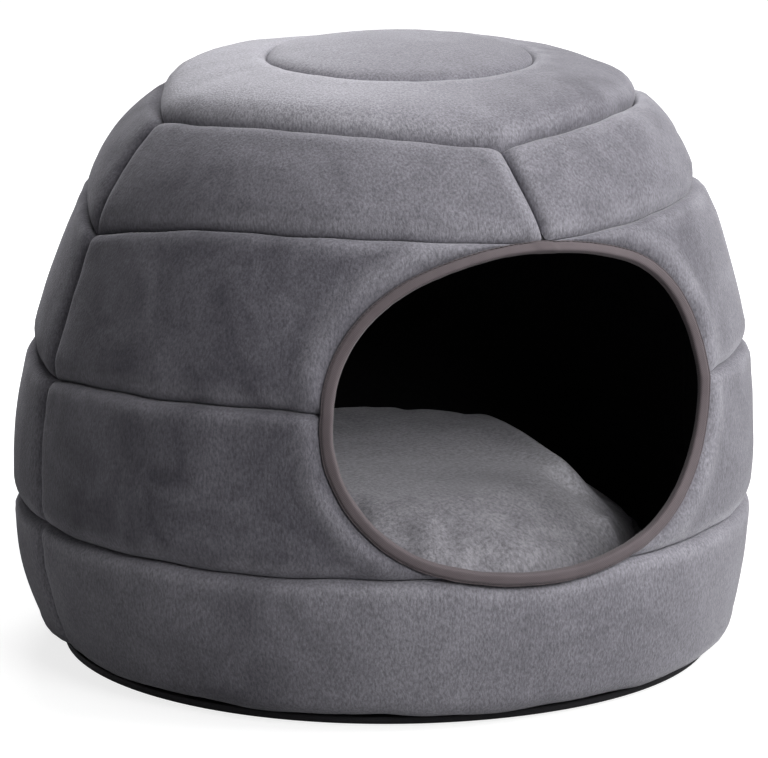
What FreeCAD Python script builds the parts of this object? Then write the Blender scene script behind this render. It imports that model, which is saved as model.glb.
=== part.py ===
import FreeCAD, Part
import math
import os
import Sketcher

# Domed cat bed: a quilted plush house of padded bands on a non-slip base, with a loose cushion inside.
# Frame: origin on the ground under the middle of the house, +Z up, the entrance faces -Y. Millimetres.
#
# The wall is turned about Z. Each sewn line round the house is a "seam" with a radius, a height and a
# tilt (how far the wall leans back there), and every layer of the wall is measured from those seams.
SIZES = [
    # How far the four upright seams stand round from the middle of the entrance, in degrees.
    ("seam_turn", 1.0),
    # Seam at the top of the skirt, the widest line of the house.
    ("skirt_top_radius", 237.0),
    ("skirt_top_height", 96.0),
    # Foot of the skirt, where its edge rolls under to the base.
    ("foot_inset", 9.0),
    ("foot_height", 5.0),
    ("foot_round", 20.0),
    ("foot_width", 34.0),
    # Bands above the skirt: how far each one comes in, and how far it goes up.
    ("lower_inset", 2.5),
    ("lower_rise", 100.0),
    ("upper_inset", 34.0),
    ("upper_rise", 103.0),
    ("shoulder_inset", 48.0),
    ("shoulder_rise", 59.0),
    ("ring_inset", 67.0),
    ("ring_rise", 24.0),
    ("disc_crown", 8.0),
    # Radius of the outward swell of each band between its two seams.
    ("skirt_bow", 165.0),
    ("lower_bow", 900.0),
    ("upper_bow", 1800.0),
    ("shoulder_bow", 160.0),
    ("ring_bow", 80.0),
    # Layers of the wall.
    ("pad_depth", 14.0),
    ("cover_thickness", 3.0),
    ("lining_thickness", 2.0),
    ("seam_round", 5.0),
    ("seam_gap", 0.3),
    ("layer_gap", 0.2),
    # Entrance: an oval of four arcs, cut straight through the front wall, and its folded tape.
    # It is as high as the lower and upper bands together, and hangs a little lower than they do.
    ("entrance_drop", 4.0),
    ("entrance_half_width", 133.0),
    ("entrance_side_round", 80.0),
    ("binding_width", 8.0),
    ("binding_proud", 1.0),
    ("binding_round", 3.0),
    # Base and floor.
    ("base_thickness", 2.0),
    ("base_round", 1.5),
    ("floor_foam_thickness", 20.0),
    # Loose cushion: play round its edge, seat clearance, height, and the swell of its two covers.
    ("cushion_play", 8.0),
    ("seat_gap", 0.3),
    ("cushion_thickness", 94.0),
    ("cushion_crown", 8.0),
    ("cushion_seam_height", 40.0),
    ("cushion_foot_inset", 34.0),
    ("cushion_foot_bow", 36.0),
    ("cushion_top_inset", 42.0),
    ("cushion_top_bow", 48.0),
    ("cushion_cover_thickness", 2.0),
    # Sewn lines, worked out from the bands. Each line tilts halfway between the bands that it joins.
    ("foot_radius", "=skirt_top_radius - foot_inset"),
    ("lower_top_radius", "=skirt_top_radius - lower_inset"),
    ("lower_top_height", "=skirt_top_height + lower_rise"),
    ("lower_top_tilt", "=(atan(lower_inset / lower_rise) + atan(upper_inset / upper_rise)) / 2"),
    ("upper_top_radius", "=lower_top_radius - upper_inset"),
    ("upper_top_height", "=lower_top_height + upper_rise"),
    ("upper_top_tilt", "=(atan(upper_inset / upper_rise) + atan(shoulder_inset / shoulder_rise)) / 2"),
    ("shoulder_top_radius", "=upper_top_radius - shoulder_inset"),
    ("shoulder_top_height", "=upper_top_height + shoulder_rise"),
    ("shoulder_top_tilt", "=(atan(shoulder_inset / shoulder_rise) + atan(ring_inset / ring_rise)) / 2"),
    ("disc_edge_radius", "=shoulder_top_radius - ring_inset"),
    ("disc_edge_height", "=shoulder_top_height + ring_rise"),
    ("disc_edge_tilt", "=(atan(ring_inset / ring_rise) + 90 deg) / 2"),
    ("entrance_height", "=(skirt_top_height + upper_top_height) / 2 - entrance_drop"),
    ("entrance_half_height", "=(lower_rise + upper_rise) / 2"),
]

# Gores of the house, in order round from the right-hand upright seam, the first one in front of it.
GORES = ("front_right", "back_right", "back_left", "front_left")
# A whole turn, one gore's share of it, and the way to the entrance, in degrees.
TURN = math.degrees(2 * math.pi)
GORE_TURN = TURN / len(GORES)
FRONT = -TURN / 4
# Sewn lines whose wall stands upright, so that they have no tilt.
UPRIGHT_SEAMS = ("foot", "skirt_top")
# How far a cut runs past the face that it opens.
OVERCUT = 1.0

doc = FreeCAD.newDocument("cat_bed")
sheet = doc.addObject("Spreadsheet::Sheet", "dims")
for row, (alias, size) in enumerate(SIZES, start=1):
    sheet.set(f"A{row}", str(size))
    sheet.setAlias(f"A{row}", alias)
doc.recompute()

nodes = {}


def value(expression):
    """Number that an expression of the sheet gives now."""
    return float(sheet.evalExpression(expression))


def origin_plane(body, role):
    return [plane for plane in body.Origin.OriginFeatures if plane.Role == role][0]


def new_body(label):
    body = doc.addObject("PartDesign::Body", label)
    body.Label = label
    nodes[label] = body
    return body


def bowed_arc(start, end, radius):
    """Arc from start to end that bulges to the right of the way it runs."""
    chord = end - start
    outward = FreeCAD.Vector(chord.y, -chord.x, 0).normalize()
    rise = radius - math.sqrt(radius ** 2 - chord.Length ** 2 / 4)
    return Part.Arc(start, (start + end) * 0.5 + outward * rise, end)


def axis_arc(start, end):
    """Arc from start to a point on the axis, level where it meets the axis."""
    rise = end.y - start.y
    radius = (start.x ** 2 + rise ** 2) / (2 * abs(rise))
    chord = start.distanceToPoint(end)
    middle = (start + end) * 0.5
    swell = radius - math.sqrt(radius ** 2 - chord ** 2 / 4)
    upward = FreeCAD.Vector(abs(rise), start.x, 0).normalize()
    return Part.Arc(start, middle + upward * swell, end)


def add_outline(sketch, corners, bows):
    """Closed outline through corners, anticlockwise.

    bows gives the radius of each bowed side: a minus sign in front bows it into the outline, and "axis"
    makes it a crown that is level at the axis.
    """
    points = [FreeCAD.Vector(value(x), value(y), 0) for x, y in corners]
    first = sketch.GeometryCount
    count = len(points)
    for side, start in enumerate(points):
        end = points[(side + 1) % count]
        bow = bows.get(side)
        if bow is None:
            curve = Part.LineSegment(start, end)
        elif bow == "axis":
            curve = axis_arc(start, end) if start.x > end.x else axis_arc(end, start)
        elif bow.startswith("-"):
            curve = bowed_arc(end, start, value(bow[1:]))
        else:
            curve = bowed_arc(start, end, value(bow))
        sketch.addGeometry(curve, False)
    ends = [side_ends(sketch.Geometry[first + side], points[side]) for side in range(count)]
    for side, (x, y) in enumerate(corners):
        here = first + side
        following = (side + 1) % count
        sketch.addConstraint(
            Sketcher.Constraint("Coincident", here, ends[side][1], first + following, ends[following][0]))
        for axis, expression in (("DistanceX", x), ("DistanceY", y)):
            index = sketch.addConstraint(
                Sketcher.Constraint(axis, -1, 1, here, ends[side][0], value(expression)))
            sketch.setExpression(f"Constraints[{index}]", expression)
        bow = bows.get(side)
        if bow == "axis":
            sketch.addConstraint(Sketcher.Constraint("PointOnObject", here, 3, -2))
        elif bow is not None:
            radius = bow.lstrip("-")
            index = sketch.addConstraint(Sketcher.Constraint("Radius", here, value(radius)))
            sketch.setExpression(f"Constraints[{index}]", radius)


def side_ends(curve, start):
    """Which end points (1 or 2) of a sketch curve are its start and end along the outline."""
    begins_here = curve.StartPoint.distanceToPoint(start) < curve.EndPoint.distanceToPoint(start)
    return (1, 2) if begins_here else (2, 1)


def upright_sketch(body, name, azimuth):
    """Sketch on the upright plane through the axis at an azimuth: its x is the radius, its y the height."""
    sketch = body.newObject("Sketcher::SketchObject", f"{body.Label}_{name}")
    sketch.AttachmentSupport = (origin_plane(body, "XZ_Plane"), [""])
    sketch.MapMode = "FlatFace"
    sketch.setExpression(
        "AttachmentOffset", f"placement(vector(0; 0; 0); rotation(vector(0; 1; 0); {azimuth}))")
    return sketch


def turned(body, name, azimuth, angle, corners, bows=None, groove=False):
    """Revolve an outline about the axis, an equal way to each side of its azimuth."""
    sketch = upright_sketch(body, f"{name}_outline", azimuth)
    add_outline(sketch, corners, bows or {})
    doc.recompute()
    before = body.Shape.Volume if groove else 0.0
    kind = "PartDesign::Groove" if groove else "PartDesign::Revolution"
    feature = body.newObject(kind, f"{body.Label}_{name}")
    feature.Profile = sketch
    feature.ReferenceAxis = (sketch, ["V_Axis"])
    feature.Midplane = True
    feature.setExpression("Angle", angle)
    doc.recompute()
    if groove and body.Shape.Volume >= before:
        raise RuntimeError(f"{body.Label}: the groove cuts nothing")
    return feature


def seam_point(seam, depth, inset):
    """Point a depth inside the outer face at a seam, moved up the wall by an inset."""
    radius = f"dims.{seam}_radius"
    height = f"dims.{seam}_height"
    if seam in UPRIGHT_SEAMS:
        return f"{radius} - ({depth})", f"{height} + ({inset})"
    tilt = f"dims.{seam}_tilt"
    return (f"{radius} - ({depth}) * cos({tilt}) - ({inset}) * sin({tilt})",
            f"{height} - ({depth}) * sin({tilt}) + ({inset}) * cos({tilt})")


# Inner face of the skirt: its radius at the foot, and how far it leans out for each millimetre up.
FOOT_INSIDE = "(dims.foot_radius - dims.foot_width)"
SKIRT_LEAN = (f"((dims.skirt_top_radius - dims.pad_depth - {FOOT_INSIDE})"
              " / (dims.skirt_top_height - dims.foot_height))")


def band_outline(low, high, bow, skin, inner):
    """Section of one band between two seams, a skin inside its outer face and down to an inner depth."""
    edge = f"dims.seam_gap / 2 + {skin}"
    top_edge = f"-({edge})"
    top = [seam_point(high, skin, top_edge), seam_point(high, inner, top_edge)]
    if low != "foot":
        corners = [seam_point(low, skin, edge)] + top + [seam_point(low, inner, edge)]
        return corners, {0: f"dims.{bow}_bow"}
    # The skirt's foot rolls under, and it is wider than the wall above.
    rolled = f"(dims.foot_round - ({skin}))"
    deeper = f"({inner}) - dims.pad_depth"
    corners = [
        ("dims.foot_radius - dims.foot_round", f"dims.foot_height + {skin}"),
        (f"dims.foot_radius - ({skin})", "dims.foot_height + dims.foot_round"),
        top[0],
        (f"{top[1][0]} - {SKIRT_LEAN} * ({edge})", top[1][1]),
        (f"{FOOT_INSIDE} - ({deeper}) + {SKIRT_LEAN} * ({skin})", f"dims.foot_height + {skin}"),
    ]
    return corners, {0: rolled, 1: f"dims.{bow}_bow"}


def disc_outline(skin, inner):
    """Section of the round pad in the middle of the crown."""
    edge = f"dims.seam_gap / 2 + {skin}"
    inner_edge = seam_point("disc_edge", inner, edge)
    corners = [
        ("0", inner_edge[1]),
        inner_edge,
        seam_point("disc_edge", skin, edge),
        ("0", f"dims.disc_edge_height + dims.disc_crown - ({skin})"),
    ]
    return corners, {2: "axis"}


def oval(grow):
    """Corners and bows of the entrance oval about its own middle, grown by a margin."""
    across = "(dims.entrance_half_width - dims.entrance_side_round)"
    along = "(dims.entrance_half_height - dims.entrance_side_round)"
    span = f"({across} ^ 2 + {along} ^ 2)"
    side = f"(dims.entrance_side_round + {grow})"
    x = f"{across} + {side} * 2 * {across} * {along} / {span}"
    y = f"{side} * ({across} ^ 2 - {along} ^ 2) / {span}"
    crown = f"{side} + {span} / (2 * {along})"
    corners = [(x, f"-({y})"), (x, y), (f"-({x})", y), (f"-({x})", f"-({y})")]
    return corners, {0: side, 1: crown, 2: side, 3: crown}


def front_cut(body, name, outlines):
    """Cut outlines, drawn about the middle of the entrance, from the axis out through the front wall."""
    sketch = body.newObject("Sketcher::SketchObject", f"{body.Label}_{name}_outline")
    sketch.AttachmentSupport = (origin_plane(body, "XZ_Plane"), [""])
    sketch.MapMode = "FlatFace"
    sketch.setExpression("AttachmentOffset.Base.y", "dims.entrance_height")
    for corners, bows in outlines:
        add_outline(sketch, corners, bows)
    doc.recompute()
    before = body.Shape.Volume
    cut = body.newObject("PartDesign::Pocket", f"{body.Label}_{name}")
    cut.Profile = sketch
    cut.Type = "ThroughAll"
    cut.Reversed = True
    doc.recompute()
    return before - body.Shape.Volume


def round_edges(body, feature, edges, radius):
    """Fillet the given edges of a feature."""
    names = []
    for number, edge in enumerate(feature.Shape.Edges, start=1):
        if any(edge.isSame(chosen) for chosen in edges):
            names.append(f"Edge{number}")
    fillet = body.newObject("PartDesign::Fillet", f"{body.Label}_rounds")
    fillet.Base = (feature, names)
    fillet.setExpression("Radius", radius)
    doc.recompute()
    return fillet


def outer_edges(shape):
    """Edges between the outer skin of a pad and its sides."""
    flat = ("Part::GeomPlane", "Part::GeomCone", "Part::GeomCylinder")
    skin = [face for face in shape.Faces if face.Surface.TypeId not in flat]
    edges = [edge for face in skin for edge in face.Edges]
    return [edge for edge in edges if sum(edge.isSame(other) for other in edges) == 1]


def sector(angle, wall, radius):
    """Angle of a piece that stands a wall's thickness back from the upright seams at its two ends."""
    return f"{angle} deg - 2 * asin(({wall}) / ({radius}))"


def gore_middle(gore):
    """Azimuth of the middle of a gore."""
    return f"dims.seam_turn + ({GORE_TURN * GORES.index(gore)}) - {GORE_TURN / 2}"


def padded_band(name, azimuth, angle, low, high, bow, entrance):
    """One padded cell: a plush cover that is open at the back, and the foam slab inside it."""
    whole_turn = angle == TURN
    skin = "dims.cover_thickness"
    foam_skin = "dims.cover_thickness + dims.layer_gap"
    least_radius = f"(dims.{high}_radius - dims.pad_depth)"

    def span(wall):
        return f"{angle} deg" if whole_turn else sector(angle, wall, least_radius)

    cover = new_body(f"{name}_cover")
    block = turned(cover, "block", azimuth, span("dims.seam_gap / 2"),
                   *band_outline(low, high, bow, "0", "dims.pad_depth"))
    round_edges(cover, block, outer_edges(block.Shape), "dims.seam_round")
    turned(cover, "hollow", azimuth, span(f"dims.seam_gap / 2 + {skin}"),
           *band_outline(low, high, bow, skin, f"dims.pad_depth + {OVERCUT}"), groove=True)
    foam = new_body(f"{name}_foam")
    turned(foam, "slab", azimuth, span(f"dims.seam_gap / 2 + {foam_skin}"),
           *band_outline(low, high, bow, foam_skin, "dims.pad_depth"))
    if entrance:
        front_cut(foam, "entrance", [oval("dims.layer_gap")])
        if front_cut(cover, "entrance", [oval("dims.layer_gap")]) <= 0:
            raise RuntimeError(f"{name}: the entrance misses the cover")


# Skirt: the bottom band is one length round the front half and one round the back.
for side, middle in (("front", FRONT), ("back", -FRONT)):
    padded_band(f"skirt_{side}", f"dims.seam_turn + ({middle})", TURN / 2,
                "foot", "skirt_top", "skirt", entrance=side == "front")

# Lower, upper and shoulder bands: four gores each, the front ones cut by the entrance.
for band, low, high in (("lower", "skirt_top", "lower_top"), ("upper", "lower_top", "upper_top"),
                        ("shoulder", "upper_top", "shoulder_top")):
    for gore in GORES:
        padded_band(f"{band}_{gore}", gore_middle(gore), GORE_TURN,
                    low, high, band, entrance=gore.startswith("front"))

# Crown: a padded ring round a padded disc.
padded_band("crown_ring", "0", TURN, "shoulder_top", "disc_edge", "ring", entrance=False)
disc_cover = new_body("crown_disc_cover")
disc_block = turned(disc_cover, "block", "0", f"{TURN} deg", *disc_outline("0", "dims.pad_depth"))
round_edges(disc_cover, disc_block, outer_edges(disc_block.Shape), "dims.seam_round")
turned(disc_cover, "hollow", "0", f"{TURN} deg",
       *disc_outline("dims.cover_thickness", f"dims.pad_depth + {OVERCUT}"), groove=True)
turned(new_body("crown_disc_foam"), "slab", "0", f"{TURN} deg",
       *disc_outline("dims.cover_thickness + dims.layer_gap", "dims.pad_depth"))

# Lining: four gores of cloth against the inside of the pads, and one round piece under the crown.
LINING_OUT = "dims.pad_depth + dims.layer_gap"
LINING_IN = f"{LINING_OUT} + dims.lining_thickness"
FLOOR_TOP = "(dims.base_thickness + dims.floor_foam_thickness + 2 * dims.layer_gap)"
WALL_AT_FLOOR = f"({FOOT_INSIDE} + {SKIRT_LEAN} * ({FLOOR_TOP} - dims.foot_height))"
WALL_SEAMS = ("skirt_top", "lower_top", "upper_top", "shoulder_top")
for gore in GORES:
    lining = new_body(f"lining_{gore}")
    outside = [(f"{WALL_AT_FLOOR} - dims.layer_gap", FLOOR_TOP)]
    outside += [seam_point(seam, LINING_OUT, "0") for seam in WALL_SEAMS]
    inside = [seam_point(seam, LINING_IN, "0") for seam in reversed(WALL_SEAMS)]
    inside += [(f"{WALL_AT_FLOOR} - dims.layer_gap - dims.lining_thickness", FLOOR_TOP)]
    turned(lining, "cloth", gore_middle(gore),
           sector(GORE_TURN, "dims.seam_gap / 2", "dims.shoulder_top_radius - dims.pad_depth"),
           outside + inside)
    if gore.startswith("front"):
        front_cut(lining, "entrance", [oval("dims.layer_gap")])

crown_edge_out = seam_point("shoulder_top", LINING_OUT, "dims.seam_gap")
crown_edge_in = seam_point("shoulder_top", LINING_IN, "dims.seam_gap")
disc_under_out = seam_point("disc_edge", LINING_OUT, "0")
disc_under_in = seam_point("disc_edge", LINING_IN, "0")
turned(new_body("lining_crown"), "cloth", "0", f"{TURN} deg",
       [("0", disc_under_in[1]), disc_under_in, crown_edge_in,
        crown_edge_out, disc_under_out, ("0", disc_under_out[1])])


def circumradius(points):
    """Radius of the circle through three points."""
    sides = []
    for (x1, y1), (x2, y2) in zip(points, points[1:] + points[:1]):
        sides.append(f"sqrt((({x2}) - ({x1})) ^ 2 + (({y2}) - ({y1})) ^ 2)")
    (ax, ay), (bx, by), (cx, cy) = points
    twice_area = (f"abs((({bx}) - ({ax})) * (({cy}) - ({ay}))"
                  f" - (({cx}) - ({ax})) * (({by}) - ({ay})))")
    return f"{sides[0]} * {sides[1]} * {sides[2]} / (2 * {twice_area})"


def wall_curve(depth):
    """Three points of the wall's profile at a depth: below the entrance, above it and at the crown."""
    low = seam_point("skirt_top", depth, "-2 * dims.binding_width")
    return [low, seam_point("upper_top", depth, "0"), seam_point("shoulder_top", depth, "0")]


# Entrance binding: a tape folded over the cut edge, a ring that follows the curve of the wall.
binding = new_body("entrance_binding")
face_curve = wall_curve("-dims.binding_proud")
back_curve = wall_curve(f"{LINING_IN} + dims.binding_proud")
turned(binding, "band", str(FRONT), f"{TURN / 3} deg",
       [face_curve[0], face_curve[2], back_curve[2], back_curve[0]],
       {0: circumradius(face_curve), 2: "-" + circumradius(back_curve)})
margin = "dims.foot_radius"
frame_corners = [(f"-{margin}", f"-{margin}"), (margin, f"-{margin}"),
                 (margin, margin), (f"-{margin}", margin)]
front_cut(binding, "trim", [(frame_corners, {}), oval("0"), oval("(-dims.binding_width)")])
round_edges(binding, binding.Tip, outer_edges(binding.Tip.Shape), "dims.binding_round")

# Base: dark non-slip cloth, turned up round its edge, under the foam of the floor and its lining.
BASE_RADIUS = "(dims.foot_radius - dims.foot_round)"
BASE_TOP = "(dims.foot_height - dims.layer_gap)"
turned(new_body("base_cloth"), "cup", "0", f"{TURN} deg", [
    ("0", "0"),
    (f"{BASE_RADIUS} - dims.base_round", "0"),
    (BASE_RADIUS, "dims.base_round"),
    (BASE_RADIUS, BASE_TOP),
    (f"{BASE_RADIUS} - dims.base_thickness", BASE_TOP),
    (f"{BASE_RADIUS} - dims.base_thickness", "dims.base_thickness"),
    ("0", "dims.base_thickness"),
], {1: "dims.base_round"})

FOAM_BOTTOM = "(dims.base_thickness + dims.layer_gap)"
FOAM_TOP = f"({FOAM_BOTTOM} + dims.floor_foam_thickness)"
turned(new_body("floor_foam"), "slab", "0", f"{TURN} deg", [
    ("0", FOAM_BOTTOM),
    (f"{BASE_RADIUS} - dims.base_thickness - dims.layer_gap", FOAM_BOTTOM),
    (f"{BASE_RADIUS} - dims.base_thickness - dims.layer_gap", BASE_TOP),
    (f"{FOOT_INSIDE} - dims.layer_gap", BASE_TOP),
    (f"{FOOT_INSIDE} - dims.layer_gap", FOAM_TOP),
    ("0", FOAM_TOP),
])
lining_edge = f"{WALL_AT_FLOOR} - 2 * dims.layer_gap - dims.lining_thickness"
turned(new_body("lining_floor"), "cloth", "0", f"{TURN} deg", [
    ("0", FLOOR_TOP),
    (lining_edge, FLOOR_TOP),
    (lining_edge, f"{FLOOR_TOP} + dims.lining_thickness"),
    ("0", f"{FLOOR_TOP} + dims.lining_thickness"),
])

# Loose cushion: two crowned covers sewn together round the edge, with fibre fill between them.
SEAT = f"({FLOOR_TOP} + dims.lining_thickness + dims.seat_gap)"
CUSHION_RADIUS = f"({FOOT_INSIDE} - dims.cushion_play)"
CUSHION_SEAM = f"({SEAT} + dims.cushion_seam_height)"
CUSHION_TOP = f"({SEAT} + dims.cushion_thickness)"
COVER = "dims.cushion_cover_thickness"


def cushion_edge(skin, lift):
    """Point at the sewn edge, a skin inside the cover."""
    return f"{CUSHION_RADIUS} - ({skin})", f"{CUSHION_SEAM} + {lift}"


def cushion_under(skin):
    """Lower face: its middle, and where it begins to turn up to the sewn edge."""
    height = f"{SEAT} + {skin}"
    return [("0", height), (f"{CUSHION_RADIUS} - dims.cushion_foot_inset", height)]


def cushion_over(skin):
    """Upper face: where it turns in from the sewn edge, and the top of its crown."""
    height = f"{CUSHION_TOP} - ({skin})"
    return [(f"{CUSHION_RADIUS} - dims.cushion_top_inset", f"{height} - dims.cushion_crown"), ("0", height)]


def foot_bow(skin):
    return f"(dims.cushion_foot_bow - ({skin}))"


def top_bow(skin):
    return f"(dims.cushion_top_bow - ({skin}))"


half_gap = "dims.seam_gap / 2"
turned(new_body("cushion_top_cover"), "cloth", "0", f"{TURN} deg",
       [cushion_edge("0", half_gap), *cushion_over("0"),
        *reversed(cushion_over(COVER)), cushion_edge(COVER, half_gap)],
       {0: top_bow("0"), 1: "axis", 3: "axis", 4: "-" + top_bow(COVER)})
turned(new_body("cushion_bottom_cover"), "cloth", "0", f"{TURN} deg",
       [*cushion_under("0"), cushion_edge("0", f"(-{half_gap})"),
        cushion_edge(COVER, f"(-{half_gap})"), *reversed(cushion_under(COVER))],
       {1: foot_bow("0"), 3: "-" + foot_bow(COVER)})
FILL = f"{COVER} + dims.layer_gap"
turned(new_body("cushion_fill"), "fibre", "0", f"{TURN} deg",
       [*cushion_under(FILL), cushion_edge(FILL, "0"), *cushion_over(FILL)],
       {1: foot_bow(FILL), 2: top_bow(FILL), 3: "axis"})

# Every object has to be sound before anything is written.
doc.recompute()
for item in doc.Objects:
    if "Invalid" in item.State or "Error" in item.State:
        raise RuntimeError(f"{item.Label}: {item.State}")
for label, body in nodes.items():
    if body.Shape.isNull() or not body.Shape.isValid() or len(body.Shape.Solids) != 1:
        raise RuntimeError(f"{label}: not one sound solid")

os.makedirs("parts", exist_ok=True)
for label, body in nodes.items():
    body.Shape.exportStep(f"parts/{label}.step")
    box = body.Shape.BoundBox
    print(f"{label}: {body.Shape.Volume / 1000:.1f} cm3, z {box.ZMin:.1f} to {box.ZMax:.1f}")
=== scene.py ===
import math

import bmesh
import bpy
import numpy as np
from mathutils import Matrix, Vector, noise
from mathutils.kdtree import KDTree


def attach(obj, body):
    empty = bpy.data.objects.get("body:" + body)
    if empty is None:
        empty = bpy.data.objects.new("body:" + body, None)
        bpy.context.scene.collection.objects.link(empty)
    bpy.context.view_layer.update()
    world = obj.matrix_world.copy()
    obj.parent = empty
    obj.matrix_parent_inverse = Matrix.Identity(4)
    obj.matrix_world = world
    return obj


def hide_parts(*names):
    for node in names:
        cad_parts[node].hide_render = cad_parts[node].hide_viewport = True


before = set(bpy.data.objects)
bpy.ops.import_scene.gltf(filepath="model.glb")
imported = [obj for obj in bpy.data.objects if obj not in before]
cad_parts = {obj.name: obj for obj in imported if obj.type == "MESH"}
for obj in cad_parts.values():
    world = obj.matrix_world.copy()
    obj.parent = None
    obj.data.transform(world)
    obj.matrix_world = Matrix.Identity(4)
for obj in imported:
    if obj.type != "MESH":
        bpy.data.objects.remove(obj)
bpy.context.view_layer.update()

# Quilted wall of the house: plush sewn over foam slabs, held down along lines that run round the dome
# and up its four gores. Each line has a radius, a height and a lean; the soft lines hang lower at the
# upright seams than in the middle of a gore. Metres, with heights from the ground.
SEAMS = np.radians((-87.0, 1.0, 91.0, 178.5))
GORE_EDGES = np.concatenate([SEAMS[3:] - 2 * math.pi, SEAMS])
GORES = ("front_right", "back_right", "back_left", "front_left")
GORE_SPANS = dict(zip(GORES[-1:] + GORES[:-1], zip(GORE_EDGES, GORE_EDGES[1:])))
LINES = {
    # radius, height, lean of the wall in degrees, droop at the front, right, back and left seams
    "foot": (0.2248, 0.0230, 0.0, (0.0, 0.0, 0.0, -0.0050)),
    "skirt_top": (0.2370, 0.0967, 0.0, (-0.0024, -0.0009, -0.0006, -0.0008)),
    "lower_top": (0.2339, 0.1999, 10.0, (0.0117, 0.0126, 0.0066, 0.0082)),
    "upper_top": (0.1985, 0.3033, 29.0, (0.0062, 0.0055, 0.0173, 0.0207)),
    "shoulder_top": (0.1495, 0.3607, 55.0, (0.0079, 0.0069, 0.0074, 0.0092)),
    "disc_edge": (0.0854, 0.3822, 80.0, (0.0, 0.0, 0.0, 0.0)),
}
BANDS = {
    # lower line, upper line, swell of the padding between them
    "skirt": ("foot", "skirt_top", 0.0022),
    "lower": ("skirt_top", "lower_top", 0.0014),
    "upper": ("lower_top", "upper_top", 0.0008),
    "shoulder": ("upper_top", "shoulder_top", 0.0046),
    "ring": ("shoulder_top", "disc_edge", 0.0070),
}
# The line of stitches wanders by about a millimetre: how far, waves round the house, shift with height.
WANDER = ((0.0005, 11, 90), (0.0003, 26, 40))
FOOT_ROUND = 0.017
# The soft house leans over to the right at its top and its foot, its top tips down a little towards the
# entrance, and the upright seams twist below the crown.
SWAY = 0.0100
FOOT_SWAY = 0.0024
SWAY_WAY = (0.907, -0.420)
TIP = (-0.0022, 0.0215)
TWIST = np.radians((-5.0, -2.0, -1.0, -1.0))
# Height at which each of these begins, and the rise over which it grows, or fades at the foot.
SWAY_FROM = (0.14, 0.26)
FOOT_SWAY_FROM = (0.0, 0.07)
TIP_FROM = (0.24, 0.14)
TWIST_FROM = (0.285, 0.075)
# The left side is fuller at the skirt and slacker above it, the right side slacker under a full shoulder:
# heights, and how far the wall stands out there.
LEFT_WAY = math.radians(155)
LEFT_EASE = ((0.00, 0.05, 0.09, 0.15, 0.20, 0.25, 0.32),
             (0.0, 0.0020, 0.0028, 0.0, -0.0045, -0.0032, 0.0))
RIGHT_WAY = math.radians(-25)
RIGHT_EASE = ((0.00, 0.28, 0.305, 0.33, 0.352, 0.37), (0.0, 0.0, -0.0040, -0.0030, 0.0040, 0.0))


def smooth(share):
    """Soft step from 0 to 1."""
    share = np.clip(share, 0.0, 1.0)
    return share * share * (3 - 2 * share)


def sewn_line(name, phi):
    """Radius and height of a sewn line at an angle round the house."""
    radius, height, lean, droops = LINES[name]
    along = np.interp((phi - GORE_EDGES[0]) % (2 * math.pi) + GORE_EDGES[0], GORE_EDGES, (-1, 0, 1, 2, 3))
    nearest = np.round(along)
    middle = 2 * np.abs(along - nearest)
    drop = np.array(droops)[nearest.astype(int) % 4] * (1 - middle) ** 2
    wander = sum(far * np.sin(waves * phi + shift * height) for far, waves, shift in WANDER)
    lean = math.radians(lean)
    return radius + drop * math.tan(lean), height - drop - wander * math.cos(lean)


def wall(band, phi, v):
    """Radius, height, lean and length of a band's outer face, v from its lower line to its upper one."""
    low, high, swell = BANDS[band]
    r0, z0 = sewn_line(low, phi)
    r1, z1 = sewn_line(high, phi)
    across, up = r1 - r0, z1 - z0
    rise = np.hypot(across, up)
    if band != "skirt":
        # The crown's ring stands up at its seam and is nearly flat above it; the others swell evenly.
        fullness = np.sin(math.pi * np.clip(v, 0, 1) ** 0.5) if band == "ring" else 4 * v * (1 - v)
        bow = swell * fullness / rise
        lean = np.radians(LINES[low][2] * (1 - v) + LINES[high][2] * v)
        return r0 + across * v + up * bow, z0 + up * v - across * bow, lean, rise
    # The skirt's foot rolls under before its face goes up.
    roll = FOOT_ROUND * math.pi / 2
    along = v * (roll + rise)
    turn = np.clip(along / roll, 0, 1) * math.pi / 2
    t = np.clip((along - roll) / rise, 0, 1)
    bow = swell * 4 * t * (1 - t) / rise
    radius = r0 - FOOT_ROUND * (1 - np.sin(turn)) + across * t + up * bow
    height = z0 - FOOT_ROUND * np.cos(turn) + up * t - across * bow
    return radius, height, turn - math.pi / 2, roll + rise


def grown(height, begins):
    """Share from 0 to 1 by which something has grown at a height."""
    return smooth((height - begins[0]) / begins[1])


def place(radius, height, phi):
    """Points round the house as it stands, with the lean, tip and twist of its soft top."""
    sway = SWAY * grown(height, SWAY_FROM) + FOOT_SWAY * (1 - grown(height, FOOT_SWAY_FROM))
    for way, (heights, eases) in ((LEFT_WAY, LEFT_EASE), (RIGHT_WAY, RIGHT_EASE)):
        radius = radius + np.interp(height, heights, eases) * np.maximum(np.cos(phi - way), 0) ** 3
    turn = sum(twist * np.maximum(np.cos(phi - seam), 0) ** 2 for twist, seam in zip(TWIST, SEAMS))
    spin = phi + turn * grown(height, TWIST_FROM)
    x = radius * np.cos(spin)
    y = radius * np.sin(spin)
    tip = grown(height, TIP_FROM) * (TIP[0] * x + TIP[1] * y)
    return np.stack([x + sway * SWAY_WAY[0], y + sway * SWAY_WAY[1], height + tip], axis=-1)


def spaced(length, fine=0.0005, coarse=0.0042, growth=1.5):
    """Steps along a sewn piece, short near its two edges and longer in its middle."""
    steps, step = [0.0], fine
    while steps[-1] + step < length / 2:
        steps.append(steps[-1] + step)
        step = min(step * growth, coarse)
    half = np.array(steps + [length / 2]) if len(steps) < 2 else np.array(steps) / steps[-1] * length / 2
    return np.concatenate([half, length - half[-2::-1]])


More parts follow.
